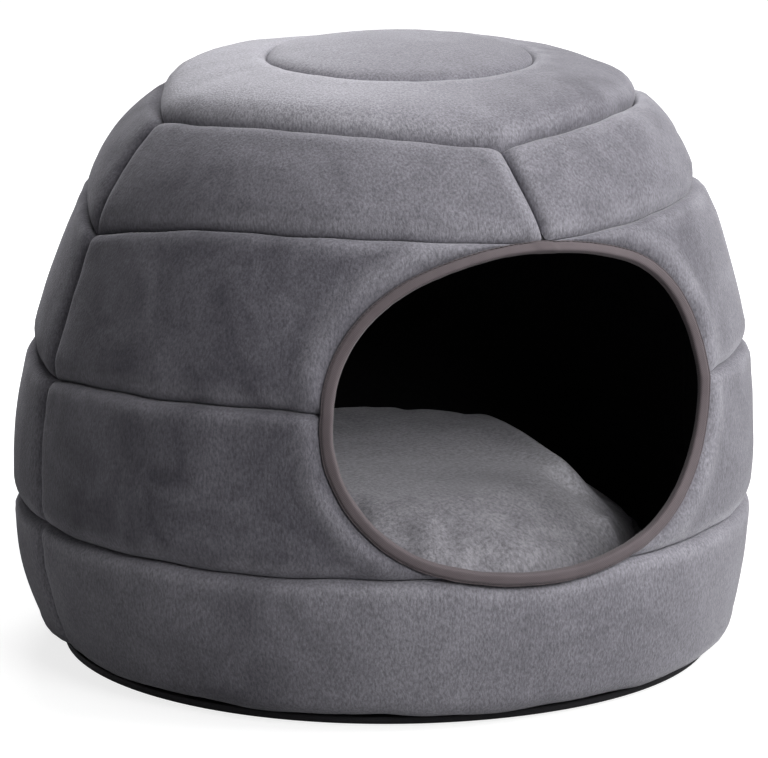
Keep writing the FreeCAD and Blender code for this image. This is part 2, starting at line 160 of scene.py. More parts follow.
# Entrance: an oval of four arcs cut through the front wall, between the skirt and the shoulder. Its left
# end hangs a little lower.
ENTRANCE_HEIGHT = 0.1942
ENTRANCE_HALF_WIDTH = 0.133
ENTRANCE_HALF_HEIGHT = 0.1033
ENTRANCE_SIDE_ROUND = 0.097
ENTRANCE_LEFT_DROP = 0.005
RIM_POINTS = 1441


def oval(psi):
    """Across and up of the entrance's edge, where its outward direction is psi."""
    side = ENTRANCE_HALF_WIDTH - ENTRANCE_SIDE_ROUND
    rise = ENTRANCE_HALF_HEIGHT - ENTRANCE_SIDE_ROUND
    drop = (side ** 2 - rise ** 2) / (2 * rise)
    crown = ENTRANCE_HALF_HEIGHT + drop
    across, up = np.cos(psi), np.sin(psi)
    on_side = np.abs(across) > side / math.hypot(side, drop)
    x = np.where(on_side, side * np.sign(across) + ENTRANCE_SIDE_ROUND * across, crown * across)
    z = np.where(on_side, ENTRANCE_SIDE_ROUND * up, crown * up - drop * np.sign(up))
    return x, ENTRANCE_HEIGHT + z - ENTRANCE_LEFT_DROP * smooth(-x / ENTRANCE_HALF_WIDTH)


def on_wall(band, x, z, first_radius=0.235, rounds=25):
    """Angle, height in the band and radius of the points of a band that stand at x and z in front, found
    from a first radius in a number of rounds."""
    low, high, swell = BANDS[band]
    phi, v = -np.arccos(x / first_radius), np.full(np.shape(x), 0.5)
    for _ in range(rounds):
        (r0, z0), (r1, z1) = sewn_line(low, phi), sewn_line(high, phi)
        bow = swell * 4 * v * (1 - v) / np.hypot(r1 - r0, z1 - z0)
        v = (z - z0 + (r1 - r0) * bow) / (z1 - z0)
        radius = r0 + (r1 - r0) * v + (z1 - z0) * bow
        phi = -np.arccos(np.clip(x / radius, -1, 1))
    return phi, v, radius


def on_front(x, z):
    """The same for points in the lower or the upper band, with the upper one's heights from 1 to 2."""
    lower, upper = on_wall("lower", x, z), on_wall("upper", x, z)
    return np.where(lower[1] > 1, (upper[0], 1 + upper[1], upper[2]), lower)


# The entrance's edge as points on the wall, anticlockwise from its lowest point as seen from the front.
rim_psi = np.linspace(-math.pi / 2, 1.5 * math.pi, RIM_POINTS)
rim_x, rim_z = oval(rim_psi)
rim_phi, rim_bands, rim_radius = on_front(rim_x, rim_z)
rim_lean = np.interp(rim_bands, (0, 1, 2),
                     np.radians([LINES[name][2] for name in ("skirt_top", "lower_top", "upper_top")]))
rim_points = place(rim_radius, rim_z, rim_phi)
rim_tree = KDTree(len(rim_points))
for number, point in enumerate(rim_points):
    rim_tree.insert(point, number)
rim_tree.balance()


def from_rim(points):
    """How far points are from the entrance's edge."""
    return np.array([rim_tree.find(p)[2] for p in points.reshape(-1, 3)]).reshape(points.shape[:-1])


# Plush of the house: a grey polyester knit with a cut pile of 1 to 2 mm, sheared and brushed. Its dark and
# middle greys are its own colour; its pale grey is painted light where the nap and the seam lips catch the
# light.
HOUSE_GREYS = ("#4d4b53", "#6e6c74", "#b4b2ba")


def colour(code):
    """Linear colour of an sRGB hex code."""
    parts = [int(code[i:i + 2], 16) / 255 for i in (1, 3, 5)]
    return [p / 12.92 if p <= 0.04045 else ((p + 0.055) / 1.055) ** 2.4 for p in parts] + [1.0]


def new_material(name):
    """Material that has no nodes yet."""
    material = bpy.data.materials.new(name)
    material.use_nodes = True
    material.node_tree.nodes.clear()
    return material


def add_node(material, kind, inputs=None, **settings):
    """One node of a material; an input is a value or another node's output."""
    made = material.node_tree.nodes.new("ShaderNode" + kind)
    for key, setting in settings.items():
        setattr(made, key, setting)
    for key, given in (inputs or {}).items():
        if isinstance(given, bpy.types.NodeSocket):
            material.node_tree.links.new(given, made.inputs[key])
        else:
            made.inputs[key].default_value = given
    return made


def pile_fabric(name, dark, middle, light, pile_mm, cloud_mm, depth_mm, sheen):
    """Short-pile plush: a soft grain of fibre ends, clouds where the nap is brushed another way, painted
    light in the pale colour by the nap attribute, and a pale sheen where the pile is seen from the side."""
    material = new_material(name)
    where = add_node(material, "TexCoord")
    # Fibres lie up and down, so that the grain is drawn out that way.
    nap = add_node(material, "Mapping", {"Vector": where.outputs["Object"], "Scale": (1, 1, 0.5)})
    grain = add_node(material, "TexNoise", {
        "Vector": nap.outputs["Vector"], "Scale": 1000 / pile_mm, "Detail": 3.0, "Roughness": 0.65})
    cloud = add_node(material, "TexNoise", {
        "Vector": where.outputs["Object"], "Scale": 1000 / cloud_mm, "Detail": 4.0, "Roughness": 0.62,
        "Distortion": 0.9})
    brushed = add_node(material, "MapRange", {
        "Value": cloud.outputs["Fac"], "From Min": 0.34, "From Max": 0.66}, clamp=True)
    body = add_node(material, "Mix", {
        0: brushed.outputs["Result"], 6: colour(dark), 7: colour(middle)}, data_type="RGBA")
    # Painted light and shade: the nap attribute mixes in the pale colour where the pile should look lit.
    painted_light_share = add_node(material, "Attribute", attribute_name="nap")
    with_painted_light = add_node(material, "Mix", {
        0: painted_light_share.outputs["Fac"], 6: body.outputs[2], 7: colour(light)}, data_type="RGBA")
    # Fibre ends catch the light, and the gaps between them are darker.
    tips = add_node(material, "MapRange", {
        "Value": grain.outputs["Fac"], "From Min": 0.3, "From Max": 0.7, "To Min": 0.62, "To Max": 1.30},
        clamp=True)
    tinted = add_node(material, "Mix", {
        0: 1.0, 6: with_painted_light.outputs[2], 7: tips.outputs["Result"]}, data_type="RGBA", blend_type="MULTIPLY")
    bump = add_node(material, "Bump", {
        "Height": grain.outputs["Fac"], "Strength": 0.5, "Distance": depth_mm / 1000})
    surface = add_node(material, "BsdfPrincipled", {
        "Base Color": tinted.outputs[2], "Normal": bump.outputs["Normal"], "Roughness": 0.9,
        "Specular IOR Level": 0.15, "Sheen Weight": sheen, "Sheen Roughness": 0.45,
        "Sheen Tint": colour("#e4e3ea")})
    add_node(material, "OutputMaterial", {"Surface": surface.outputs["BSDF"]})
    return material


house_plush = pile_fabric("grey_sheared_plush", *HOUSE_GREYS, pile_mm=1.4, cloud_mm=44, depth_mm=1.0,
                          sheen=0.5)

# Quilted pads: a panel of plush over a slab of foam, sewn down along its edges. A seam pulls the plush
# down and the pad rolls into it, so that it hangs over its lower seam and is tight at its upper one. The
# pads thin out towards the bound entrance.
# How deep a seam pulls, over what widths the pad rolls into it, and the softer slack beside it.
PINCH = 0.0090
ROLL = 0.0105
LOW_ROLL = 0.0165
HIGH_ROLL = 0.0085
SLACK = 0.0016
SLACK_REACH = 0.038
# The same at the entrance, where the plush also puffs up beside the tape.
RIM_PINCH = 0.0060
RIM_ROLL = 0.011
RIM_SLACK = 0.3
RIM_PUFF = 0.0018
RIM_PUFF_AT = 0.0105
RIM_PUFF_WIDE = 0.0080
# Painted highlight on the lip beside a seam, where its roll catches the light: where, how wide and how
# pale, and how much more by the entrance.
LIP_AT = 0.0060
LIP_WIDE = 0.0050
LIP_PAINTED_HIGHLIGHT = 0.24
RIM_PAINTED_HIGHLIGHT = 1.5
# Depth of a pad in its middle, at a seam and at the entrance, and the width over which it thins there.
PAD_DEPTH = 0.014
EDGE_DEPTH = 0.0122
RIM_DEPTH = 0.0076
RIM_REACH = 0.024
# Height and size of the foam's soft lumps, and of the puckers where the thread gathers the plush.
LUMPS = ((0.0013, 0.085), (0.0005, 0.034))
PUCKERS = ((0.0007, 0.013),)
# The back of the skirt's foam: its radius, its foot and how much wider it gets with height.
SKIRT_BACK_RADIUS = 0.194
SKIRT_BACK_FOOT = 0.005
SKIRT_BACK_FLARE = 0.319
SKIRT_BACK_LIFT = 0.001


def new_piece(name, points, faces, nap=None):
    """Piece of points and faces. Nap is the share of painted light, in the pale colour, at each point."""
    mesh = bpy.data.meshes.new(name)
    mesh.from_pydata(points.reshape(-1, 3).tolist(), [], faces)
    if nap is not None:
        set_nap(mesh, nap)
    finish_mesh(mesh)
    piece = bpy.data.objects.new(name, mesh)
    bpy.context.scene.collection.objects.link(piece)
    return piece


def set_nap(mesh, nap):
    """Keep a mesh's nap, its share of painted light, for its plush to show."""
    layer = mesh.attributes.new("nap", "FLOAT", "POINT")
    layer.data.foreach_set("value", nap.astype(np.float32))


def finish_mesh(mesh, weld=1e-6):
    """Weld points that coincide, turn faces outwards and shade them smooth."""
    work = bmesh.new()
    work.from_mesh(mesh)
    bmesh.ops.remove_doubles(work, verts=work.verts, dist=weld)
    bmesh.ops.recalc_face_normals(work, faces=work.faces)
    for face in work.faces:
        face.smooth = True
    work.to_mesh(mesh)
    work.free()


def grid_faces(grid, wraps):
    """Numbers of a grid's points, and the faces between them; a grid that wraps joins its last column to
    its first."""
    index = np.arange(grid[..., 0].size).reshape(grid.shape[:2])
    if wraps:
        index = np.concatenate([index, index[:, :1]], axis=1)
    corners = [index[:-1, :-1], index[:-1, 1:], index[1:, 1:], index[1:, :-1]]
    return index, np.stack(corners, axis=-1).reshape(-1, 4)


def sewn_shell(name, outer, inner, wraps=False, nap=None):
    """Closed piece between two grids of points, joined round their edges. Nap, its painted light, is that
    of its outer face.
    """
    index, face = grid_faces(outer, wraps)
    count = outer[..., 0].size
    under = index + count
    faces = [face, face[:, ::-1] + count]
    strips = [(under[0], index[0]), (index[-1], under[-1])]
    if not wraps:
        strips += [(under[::-1, 0], index[::-1, 0]), (index[::-1, -1], under[::-1, -1])]
    for one, other in strips:
        faces.append(np.stack([one[:-1], one[1:], other[1:], other[:-1]], axis=-1))
    if nap is not None:
        nap = np.concatenate([nap.ravel(), 0 * nap.ravel()])
    points = np.concatenate([outer.reshape(-1, 3), inner.reshape(-1, 3)])
    return new_piece(name, points, np.concatenate(faces).tolist(), nap)


def uneven(points, lumps):
    """How far a soft face stands out at points, for lumps of some heights and sizes."""
    flat = points.reshape(-1, 3)
    out = sum(high * np.array([noise.noise(Vector(p)) for p in flat / size]) for high, size in lumps)
    return out.reshape(points.shape[:-1])


def hump(value, middle, width):
    """Round bump that is 1 at its middle."""
    return np.exp(-((value - middle) / width) ** 2)


def rolled(distance, width):
    """How far a padded face has rolled down at a distance from its edge: 1 there, 0 from a width on."""
    near = np.clip(distance / width, 0, 1)
    return 1 - np.sqrt(1 - (1 - near) ** 2)


def inside(band, phi, v, depth):
    """Points a depth inside a band's outer face; behind the skirt the wall stands on a wider foot."""
    radius, height, lean, _ = wall(band, phi, v)
    if band == "skirt":
        height = np.maximum(height, SKIRT_BACK_FOOT + SKIRT_BACK_LIFT)
        back = SKIRT_BACK_RADIUS + SKIRT_BACK_FLARE * (height - SKIRT_BACK_FOOT)
        return place(back - (depth - PAD_DEPTH), height, phi)
    return place(radius - depth * np.cos(lean), height - depth * np.sin(lean), phi)


# Painted light and shade of each band, for how its nap takes the light: share of the pale colour at places
# from the left to the right.
NAP_PAINTED_LIGHT = {
    "skirt": ((-0.20, 0.40), (-0.09, 0.14), (0.01, 0.46), (0.14, 0.27), (0.22, 0.42)),
    "lower": ((-0.24, 0.24), (-0.19, 0.03), (-0.13, 0.02), (-0.08, 0.09), (-0.04, 0.04), (0.20, 0.27),
              (0.23, 0.31)),
    "upper": ((-0.20, 0.05), (-0.17, 0.00), (-0.09, 0.00), (-0.04, 0.05), (0.00, 0.16), (0.19, 0.16),
              (0.22, 0.38)),
    "shoulder": ((-0.17, 0.04), (-0.13, 0.09), (-0.04, 0.22), (0.06, 0.32), (0.15, 0.26), (0.19, 0.26)),
    "crown_ring": ((-0.10, 0.80), (-0.03, 0.78), (0.11, 0.14)),
    "crown_disc": ((-0.10, 0.85), (0.00, 0.42), (0.09, 0.26)),
}
# Beside a seam the painted highlight is patchy: its least share, how much it varies and the size of the
# patches.
LIP_LEAST = 0.65
LIP_PATCHES = ((0.5, 0.022),)


def painted_nap_light(name, points):
    """Painted light of a panel's nap at its points, from 0 for its own dark colour to 1 for the painted
    pale.
    """
    across = points @ np.array([*SWAY_WAY, 0.0])
    places, naps = zip(*NAP_PAINTED_LIGHT[name if name in NAP_PAINTED_LIGHT else name.split("_")[0]])
    return np.interp(across, places, naps)


def dress(piece, finish, slot, *nodes, body="house"):
    """Give a piece its finish, the body that it rides on and the solids that it stands for. The slot is not
    used.
    """
    piece.data.materials.append(finish)
    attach(piece, body)
    if nodes:
        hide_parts(*nodes)


def quilt_pad(name, band, phi, v, edges, rim=None, wraps=False):
    """One padded cell of the wall over a grid of angles and heights. Edges are the distances of its points
    from its sewn edges, how hard each one is pulled down and over what width. Rim is their distance from
    the entrance."""
    radius, height, lean, _ = wall(band, phi, v)
    face = place(radius, height, phi)
    full, slack, painted_lip_highlight = 1.0, 1.0, 0.0
    for distance, pull, roll in edges:
        painted_lip_highlight = np.maximum(painted_lip_highlight, pull * hump(distance, LIP_AT, LIP_WIDE))
        full = full * (1 - pull * rolled(distance, roll))
        slack = slack * (1 - pull * (1 - smooth(distance / SLACK_REACH)))
    depth = PAD_DEPTH - (PAD_DEPTH - EDGE_DEPTH) * (1 - full)
    lift = -PINCH * (1 - full) - SLACK * (1 - slack)
    if rim is not None:
        lift = np.minimum(lift, -RIM_PINCH * rolled(rim, RIM_ROLL) + RIM_SLACK * lift)
        depth = depth - np.maximum(depth - RIM_DEPTH, 0) * (1 - smooth(rim / RIM_REACH))
        # The plush puffs up beside the tape, and a painted highlight lies along the puff.
        puff = hump(rim, RIM_PUFF_AT, RIM_PUFF_WIDE)
        lift = lift + RIM_PUFF * puff
        painted_lip_highlight = np.maximum(painted_lip_highlight, RIM_PAINTED_HIGHLIGHT * puff)
    lift = lift + full * (uneven(face, LUMPS) + (1 - slack) * uneven(face, PUCKERS))
    outer = place(radius + lift * np.cos(lean), height + lift * np.sin(lean), phi)
    # Nap: the band's painted light and shade, and the painted highlight on the lips.
    nap = painted_nap_light(name, face) + LIP_PAINTED_HIGHLIGHT * painted_lip_highlight * (LIP_LEAST + uneven(face, LIP_PATCHES))
    pad = sewn_shell(f"{name}_pad", outer, inside(band, phi, v, depth), wraps, np.clip(nap, 0, 1))
    dress(pad, house_plush, "plush", f"{name}_cover", f"{name}_foam")


# Skirt: one padded length round the front half and one round the back, its foot rolled under to the
# base. In front its top edge dips under the entrance.
SEAM_GAP = 0.00015
SKIRT_MESH_RADIUS = 0.23
DIP_HALF_WIDTH = 0.08
DIP_GAP = 0.0003
FOOT_PULL = 0.5
foot_roll = FOOT_ROUND * math.pi / 2
foot_radius, foot_height, _, _ = LINES["foot"]
skirt_radius = LINES["skirt_top"][0]
for side, start, end in (("front", GORE_EDGES[0], SEAMS[1]), ("back", SEAMS[1], SEAMS[3])):
    arc = spaced((end - start) * SKIRT_MESH_RADIUS) / SKIRT_MESH_RADIUS
    phi = (start + SEAM_GAP + arc * (1 - 2 * SEAM_GAP / (end - start)))[None, :]
    _, top_height = sewn_line("skirt_top", phi)
    rise = np.hypot(skirt_radius - foot_radius, top_height - foot_height)
    top = np.ones_like(phi)
    if side == "front":
        under = np.sin(rim_psi) < 0
        order = np.argsort(rim_x[under])
        across = skirt_radius * np.cos(phi)
        dip = np.interp(across, rim_x[under][order], rim_z[under][order]) - DIP_GAP
        reach = np.where(np.abs(across) < DIP_HALF_WIDTH, np.minimum(top_height, dip), top_height)
        top = (foot_roll + rise * (reach - foot_height) / (top_height - foot_height)) / (foot_roll + rise)
    steps = spaced(foot_roll + float(rise.max()))
    v = (steps / steps[-1])[:, None] * top
    phi = phi + 0 * v
    radius, height, _, length = wall("skirt", phi, v)
    edges = [((top - v) * length, 1.0, HIGH_ROLL), (v * length, FOOT_PULL, ROLL),
             ((phi - start) * radius, 1.0, ROLL), ((end - phi) * radius, 1.0, ROLL)]
    quilt_pad(f"skirt_{side}", "skirt", phi, v, edges)

# Lower, upper and shoulder bands: plush over foam in four gores each, sewn along every edge. The front
# cells of the lower and upper bands end on the entrance, where their rows follow its edge.
GRID_RADIUS = 0.22


def grid_cell(name, band, left, right, v, rim_side=None):
    """Padded cell whose rows run from a left angle to a right angle; one side may be the entrance."""
    widest = float(np.max(right - left)) * GRID_RADIUS
    u = spaced(widest) / widest
    phi = left[:, None] + (right - left)[:, None] * u[None, :]
    high = v[:, None] + 0 * phi
    radius, height, _, length = wall(band, phi, high)
    edges = [(high * length, 1.0, LOW_ROLL), ((1 - high) * length, 1.0, HIGH_ROLL)]
    if rim_side != "left":
        edges.append(((phi - left[:, None]) * radius, 1.0, ROLL))
    if rim_side != "right":
        edges.append(((right[:, None] - phi) * radius, 1.0, ROLL))
    rim = from_rim(place(radius, height, phi)) if rim_side else None
    quilt_pad(name, band, phi, high, edges, rim)


def length_along(points):
    """Length of a line from its start to each of its points."""
    return np.concatenate([[0], np.cumsum(np.linalg.norm(np.diff(points, axis=0), axis=1))])


def rim_rows(band, psi_from, psi_to, count=500):
    """Angle and height in a band of rows that end along the entrance's edge."""
    psi = np.linspace(psi_from, psi_to, count)
    x, z = oval(psi)
    phi, v, radius = on_wall(band, x, z)
    arc = length_along(place(radius, z, phi))
    at = spaced(arc[-1])
    heights = np.interp(at, arc, v)
    heights = (heights - heights[0]) / (heights[-1] - heights[0])
    return np.interp(at, arc, phi), heights


def rim_crossing(band, wanted, psi_from, psi_to, by_angle=False, count=2000):
    """Direction at which the entrance's edge crosses a height of a band, or an angle round the house."""
    psi = np.linspace(psi_from, psi_to, count)
    angle, height, _ = on_wall(band, *oval(psi))
    return psi[int(np.argmin(np.abs((angle if by_angle else height) - wanted)))]


# Directions of the entrance's top at the front seam and of its lowest point, from the right and from the
# left. The seam of the lower band is looked for a little above and below the entrance's two ends.
top_side = rim_crossing("upper", SEAMS[0], 0.3 * math.pi, 0.7 * math.pi, by_angle=True)
bottoms = {"front_right": -math.pi / 2, "front_left": 1.5 * math.pi}
ABOVE = 0.5
BELOW = 0.3
rim_spans = {}
for gore, end, up in (("front_right", 0.0, 1), ("front_left", math.pi, -1)):
    rim_spans[f"lower_{gore}"] = (rim_crossing("lower", 0, bottoms[gore], end),
                                  rim_crossing("lower", 1, end, end + up * ABOVE))
    rim_spans[f"upper_{gore}"] = (rim_crossing("upper", 0, end - up * BELOW, end + up * ABOVE), top_side)
for band in ("lower", "upper", "shoulder"):
    radius = LINES[BANDS[band][0]][0]
    gap = SEAM_GAP / radius
    for gore in GORES:
        name = f"{band}_{gore}"
        start, end = GORE_SPANS[gore]
        if name in rim_spans:
            meets, v = rim_rows(band, *rim_spans[name])
        else:
            _, _, _, length = wall(band, np.array((start + end) / 2), np.array(0.5))
            steps = spaced(float(length))
            v = SEAM_GAP / length + steps / steps[-1] * (1 - 2 * SEAM_GAP / length)
        left, right = np.full_like(v, start + gap), np.full_like(v, end - gap)
        if name not in rim_spans:
            grid_cell(name, band, left, right, v)
        elif gore == "front_left":
            grid_cell(name, band, left, np.minimum(meets, right), v, "right")
        else:
            grid_cell(name, band, np.maximum(meets, left), right, v, "left")

# Crown: a padded ring round a padded disc, one round plush panel over foam, quilted with a stitched
# circle that pulls less than the seams do. It is sewn to the shoulders round its edge.
DISC_CROWN = 0.0095
CIRCLE_PULL = 0.55
RING_WIDTH = 0.066
ROUND_COUNT = 300
CALM_MIDDLE = 0.01
around = np.linspace(0, 2 * math.pi, ROUND_COUNT, endpoint=False)
steps = spaced(RING_WIDTH)
v = (steps / steps[-1])[:, None] + 0 * around[None, :]
phi = around[None, :] + 0 * v
_, _, _, length = wall("ring", phi, v)
edges = [(v * length, 1.0, LOW_ROLL), ((1 - v) * length, CIRCLE_PULL, ROLL)]
quilt_pad("crown_ring", "ring", phi, v, edges, wraps=True)

disc_radius, disc_height, disc_lean, _ = LINES["disc_edge"]
steps = spaced(2 * disc_radius)
share = steps[:len(steps) // 2 + 1] / disc_radius
radius = disc_radius * (1 - share)[:, None] + 0 * around[None, :]
height = disc_height + DISC_CROWN * (1 - (radius / disc_radius) ** 2)
phi = around[None, :] + 0 * radius
lean = np.radians(disc_lean + (90 - disc_lean) * share)[:, None]
pulled = CIRCLE_PULL * rolled(disc_radius - radius, ROLL)
face = place(radius, height, phi)
lift = -PINCH * pulled - CIRCLE_PULL * SLACK * (1 - smooth((disc_radius - radius) / SLACK_REACH))
lift = lift + (1 - pulled) * uneven(face, LUMPS) * smooth(radius / CALM_MIDDLE)
outer = place(radius + lift * np.cos(lean), height + lift * np.sin(lean), phi)
under = place(radius - PAD_DEPTH * np.cos(lean) * (radius / disc_radius), height - PAD_DEPTH, phi)
disc = sewn_shell("crown_disc_pad", outer, under, wraps=True, nap=painted_nap_light("crown_disc", face))
dress(disc, house_plush, "plush", "crown_disc_cover", "crown_disc_foam")

# Entrance binding: a bias-cut cotton tape folded over the raw edge of the wall and stitched down along
# its outer edge. Its ends overlap at the top, by the front seam.
BINDING_HALF_WIDTH = 0.0039
BINDING_HALF_DEPTH = 0.0036
BINDING_IN = 0.0034
BINDING_SUNK = 0.0040
BINDING_THICKNESS = 0.0008
# The fold's section: how far its edges come round behind, in degrees, and how square it is.
FOLD_ROUND = 168
FOLD_STEPS = 41
FOLD_WIDE_POWER = 0.5
FOLD_DEEP_POWER = 0.45
# The lap of the ends: thickness, its share at the sides, start and end from the seam, slant of the cut,
# and the lengths over which it comes and goes.
LAP = 0.0006
LAP_SIDE_SHARE = 0.4
LAP_FROM = 0.004
LAP_TO = 0.007
LAP_SLANT = 0.003
LAP_STEP = 0.0012
LAP_FADE = 0.004
# Ripples of the tape: share of its size, length and a place in the noise.
RIPPLES = ((0.08, 0.016, 3.0), (0.04, 0.006, 8.0))
# It is drawn tighter over the top and on the right, where its face also turns in towards the opening.
TIGHT_TOP = 0.14
TIGHT_RIGHT = 0.10
TILT_RIGHT = 0.7
# The row of stitches draws the tape down beside its outer edge: depth, place and width in half widths.
DENT = 0.0011
DENT_AT = 0.74
DENT_WIDE = 0.14
TAPE_STEPS = 480


def unit(vectors):
    """Vectors of length 1."""
    return vectors / np.linalg.norm(vectors, axis=1)[:, None]


def round_about(radius, angle, height):
    """Points at a radius and an angle round the upright axis, and at a height."""
    return np.stack(np.broadcast_arrays(radius * np.cos(angle), radius * np.sin(angle), height), axis=-1)


arc = length_along(rim_points)
rim_length = float(arc[-1])
at = np.linspace(0, rim_length, TAPE_STEPS, endpoint=False)
line = np.stack([np.interp(at, arc, rim_points[:, k]) for k in range(3)], axis=1)
line_phi = np.interp(at, arc, rim_phi)
line_lean = np.interp(at, arc, rim_lean)
line_psi = np.interp(at, arc, rim_psi)
tangent = unit(np.roll(line, -1, axis=0) - np.roll(line, 1, axis=0))
outward = round_about(np.cos(line_lean), line_phi, np.sin(line_lean))
outward = unit(outward - tangent * (outward * tangent).sum(1)[:, None])
inward = np.cross(outward, tangent)
seam_at = float(np.interp(top_side, line_psi, at))
# The section runs from the outer edge on the front round the opening's side to the edge behind.
turn = np.radians(np.linspace(FOLD_ROUND, -FOLD_ROUND, FOLD_STEPS))
wide = np.sign(np.cos(turn)) * np.abs(np.cos(turn)) ** FOLD_WIDE_POWER
deep = np.sign(np.sin(turn)) * np.abs(np.sin(turn)) ** FOLD_DEEP_POWER
dent = DENT * hump(wide, -DENT_AT, DENT_WIDE) * (deep > 0)
tape_out = np.zeros((len(turn), TAPE_STEPS, 3))
tape_in = np.zeros((len(turn), TAPE_STEPS, 3))
for k in range(TAPE_STEPS):
    past_seam = at[k] - seam_at + LAP_SLANT * wide
    lap = LAP * (smooth((past_seam + LAP_FROM) / LAP_STEP) - smooth((past_seam - LAP_TO) / LAP_FADE))
    to_top, to_right = max(math.sin(line_psi[k]), 0) ** 2, max(math.cos(line_psi[k]), 0) ** 2
    ripple = 1 + sum(share * noise.noise(Vector((at[k] / long, spot, 0))) for share, long, spot in RIPPLES)
    ripple *= 1 - TIGHT_TOP * to_top - TIGHT_RIGHT * to_right
    half_width, half_depth = BINDING_HALF_WIDTH * ripple, BINDING_HALF_DEPTH * ripple
    centre = line[k] + inward[k] * BINDING_IN - outward[k] * BINDING_SUNK
    tilt = TILT_RIGHT * to_right
    side = inward[k] * math.cos(tilt) - outward[k] * math.sin(tilt)
    front = outward[k] * math.cos(tilt) + inward[k] * math.sin(tilt)
    tape_out[:, k] = (centre + np.outer(wide * half_width + LAP_SIDE_SHARE * lap * np.sign(wide), side)
                      + np.outer(deep * (half_depth + lap) - dent, front))
    tape_in[:, k] = (centre + np.outer(wide * (half_width - BINDING_THICKNESS), side)
                     + np.outer(deep * (half_depth - BINDING_THICKNESS) - dent, front))
binding = sewn_shell("entrance_binding_tape", tape_out, tape_in, wraps=True)

# Plain-woven cotton tape in taupe: matt, with a thread spacing of about 0.5 mm on the slant. It is drawn
# at 0.9 mm, because the real weave is finer than the render can show.
WEAVE_MM = 0.9
WEAR_MM = 14
tape = new_material("taupe_cotton_bias_tape")
where = add_node(tape, "TexCoord")
slant = add_node(tape, "Mapping", {
    "Vector": where.outputs["Object"], "Rotation": (0.6, 0.785, 0.4)})
weft, warp = [add_node(tape, "TexWave", {
    "Vector": slant.outputs["Vector"], "Scale": 100 * math.pi / WEAVE_MM, "Distortion": 0.6, "Detail": 1.0},
    wave_type="BANDS", bands_direction=way) for way in ("X", "Z")]
weave = add_node(tape, "Math", {
    0: weft.outputs["Fac"], 1: warp.outputs["Fac"]}, operation="MULTIPLY")
wear = add_node(tape, "TexNoise", {
    "Vector": where.outputs["Object"], "Scale": 1000 / WEAR_MM, "Detail": 3.0})
shade = add_node(tape, "Mix", {
    0: wear.outputs["Fac"], 6: colour("#4f474a"), 7: colour("#675e61")}, data_type="RGBA")
threads = add_node(tape, "Mix", {
    0: weave.outputs["Value"], 6: shade.outputs[2], 7: colour("#70666a")}, data_type="RGBA")
raised = add_node(tape, "Bump", {
    "Height": weave.outputs["Value"], "Strength": 0.35, "Distance": 0.0003})
surface = add_node(tape, "BsdfPrincipled", {
    "Base Color": threads.outputs[2], "Normal": raised.outputs["Normal"], "Roughness": 0.72,
    "Specular IOR Level": 0.3, "Sheen Weight": 0.15, "Sheen Roughness": 0.5})
add_node(tape, "OutputMaterial", {"Surface": surface.outputs["BSDF"]})
dress(binding, tape, "binding", "entrance_binding")

# Stitches along the outer edge of the binding: polyester thread of 0.8 mm, about 3.3 mm to a stitch,
# each one sunk at its ends where the needle went through.
STITCH_PITCH = 0.0033
STITCH_LENGTH = 0.0028
STITCH_THICK = 0.0008
# Where the stitches lie on the tape, as shares of its half width and half depth.
STITCH_OUT = 0.70
STITCH_UP = 0.62


def repeated(name, points, faces, places, axes):
    """One mesh of many copies of a small shape, each at its own place and turned to its own axes."""
    copies = np.einsum("pi,nij->npj", points, axes) + places[:, None, :]
    all_faces = [[v + len(points) * n for v in face] for n in range(len(places)) for face in faces]
    return new_piece(name, copies, all_faces)


def bead(length, width, height, around=8, levels=5):
    """Small rounded grain along x, with its faces."""
    points, faces = [(-length / 2, 0, 0)], []
    for level in range(1, levels):
        angle = math.pi * level / levels
        for k in range(around):
            spin = 2 * math.pi * k / around
            points.append((-length / 2 * math.cos(angle), width / 2 * math.sin(angle) * math.cos(spin),
                           height / 2 * math.sin(angle) * math.sin(spin)))
    points.append((length / 2, 0, 0))
    last = len(points) - 1
    for k in range(around):
        nxt = (k + 1) % around
        faces.append([0, 1 + nxt, 1 + k])
        faces.append([last, last - around + k, last - around + nxt])
        for level in range(levels - 2):
            base = 1 + level * around
            faces.append([base + k, base + nxt, base + around + nxt, base + around + k])
    return np.array(points), faces


def mottled(name, dark, light, size_mm, roughness, specular=0.5, relief=0.0, texture="TexNoise",
            spots="Fac"):
    """Plain material whose colour varies between two in spots of a size, which may also be raised."""
    material = new_material(name)
    where = add_node(material, "TexCoord")
    spotted = add_node(material, texture, {"Vector": where.outputs["Object"], "Scale": 1000 / size_mm})
    shade = add_node(material, "Mix", {
        0: spotted.outputs[spots], 6: colour(dark), 7: colour(light)}, data_type="RGBA")
    looks = {"Base Color": shade.outputs[2], "Roughness": roughness, "Specular IOR Level": specular}
    if relief:
        raised = add_node(material, "Bump", {
            "Height": spotted.outputs[spots], "Strength": relief, "Distance": 0.0004})
        looks["Normal"] = raised.outputs["Normal"]
    surface = add_node(material, "BsdfPrincipled", looks)
    add_node(material, "OutputMaterial", {"Surface": surface.outputs["BSDF"]})
    return material


stitches = int(rim_length / STITCH_PITCH)
at_stitch = (np.arange(stitches) + 0.5) * rim_length / stitches
pick = np.round(at_stitch / rim_length * TAPE_STEPS).astype(int) % TAPE_STEPS
seat = (line[pick] + inward[pick] * (BINDING_IN - STITCH_OUT * BINDING_HALF_WIDTH)
        + outward[pick] * (BINDING_HALF_DEPTH * STITCH_UP - BINDING_SUNK))
axes = np.stack([tangent[pick], inward[pick], outward[pick]], axis=1)
stitching = repeated("binding_stitches", *bead(STITCH_LENGTH, STITCH_THICK, STITCH_THICK), seat, axes)
